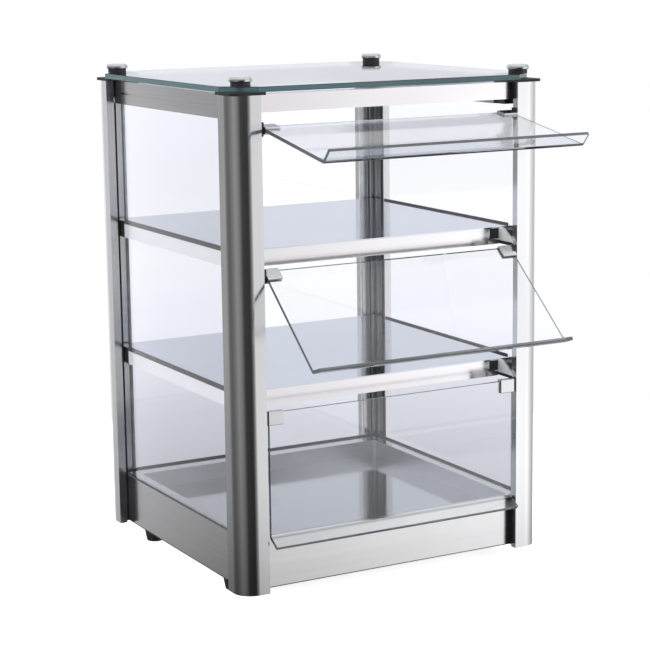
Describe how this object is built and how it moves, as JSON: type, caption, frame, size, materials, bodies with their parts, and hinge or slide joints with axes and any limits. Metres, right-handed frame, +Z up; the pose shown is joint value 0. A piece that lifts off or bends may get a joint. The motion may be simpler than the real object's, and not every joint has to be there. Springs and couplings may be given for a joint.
{
  "type": "bakery display case",
  "caption": "Countertop glass display case with tiered shelves, L-section corner posts, a recessed base tray and clear flap doors hinged along their top edges.",
  "frame": {"origin": "on the surface that the feet stand on, under the middle of the whole object with its doors at rest; the middle of the case itself is 71.5 mm behind it", "axes": "+X to the right seen from the front, +Y to the back, +Z up; the doors open towards -Y"},
  "size_m": [0.4, 0.5231, 0.5885],
  "materials": {
    "post_metal": "satin, brushed along the post",
    "bright_steel": "bright, lightly brushed lengthwise",
    "panel_steel": "brushed lengthwise",
    "mirror_steel": "polished, nearly mirror bright",
    "clear_glass": "clear float glass",
    "top_glass": "clear toughened glass, green edge",
    "clear_acrylic": "clear polished acrylic",
    "clip_metal": "satin",
    "chrome": "polished",
    "black_plastic": "moulded, satin black",
    "black_rubber": "matt black"
  },
  "bodies": {
    "case": {"back_glass": "clear_glass", "back_glass_bed": "black_rubber", "back_seals": "black_rubber", "base_floor_plate": "panel_steel", "base_panel_back": "panel_steel", "base_panel_front": "panel_steel", "base_panel_left": "panel_steel", "base_panel_right": "panel_steel", "base_tray": "mirror_steel", "corner_blocks_base": "black_plastic", "corner_blocks_lower_shelf": "black_plastic", "corner_blocks_top": "black_plastic", "corner_blocks_upper_shelf": "black_plastic", "feet": "black_rubber", "hinge_gussets": "bright_steel", "hinge_plates": "black_plastic", "lower_shelf_gaskets": "black_rubber", "lower_shelf_rail_back": "bright_steel", "lower_shelf_rail_front": "bright_steel", "lower_shelf_rail_left": "bright_steel", "lower_shelf_rail_right": "bright_steel", "lower_shelf_sheet": "mirror_steel", "post_back_left": "post_metal", "post_back_right": "post_metal", "post_front_left": "post_metal", "post_front_right": "post_metal", "side_glass_bed_left": "black_rubber", "side_glass_bed_right": "black_rubber", "side_glass_left": "clear_glass", "side_glass_right": "clear_glass", "side_seals_left": "black_rubber", "side_seals_right": "black_rubber", "top_glass": "top_glass", "top_glass_cap_nuts": "chrome", "top_glass_pads": "black_rubber", "top_glass_studs": "chrome", "top_glass_washers": "black_plastic", "top_rail_back": "bright_steel", "top_rail_front": "bright_steel", "top_rail_left": "bright_steel", "top_rail_right": "bright_steel", "upper_shelf_gaskets": "black_rubber", "upper_shelf_rail_back": "bright_steel", "upper_shelf_rail_front": "bright_steel", "upper_shelf_rail_left": "bright_steel", "upper_shelf_rail_right": "bright_steel", "upper_shelf_sheet": "mirror_steel"},
    "top_door": {"door_top_clips": "clip_metal", "door_top_sheet": "clear_acrylic"},
    "middle_door": {"door_middle_clips": "clip_metal", "door_middle_sheet": "clear_acrylic"},
    "bottom_door": {"door_bottom_clips": "clip_metal", "door_bottom_sheet": "clear_acrylic"}
  },
  "joints": [
    {"name": "top_door_hinge", "type": "hinge", "parent": "case", "child": "top_door", "pos_m": [0, -0.114, 0.532], "axis": [-1, 0, 0], "range_deg": [-80, 5]},
    {"name": "middle_door_hinge", "type": "hinge", "parent": "case", "child": "middle_door", "pos_m": [0, -0.114, 0.3725], "axis": [-1, 0, 0], "range_deg": [-50, 35]},
    {"name": "bottom_door_hinge", "type": "hinge", "parent": "case", "child": "bottom_door", "pos_m": [0, -0.114, 0.214], "axis": [-1, 0, 0], "range_deg": [0, 85]}
  ]
}
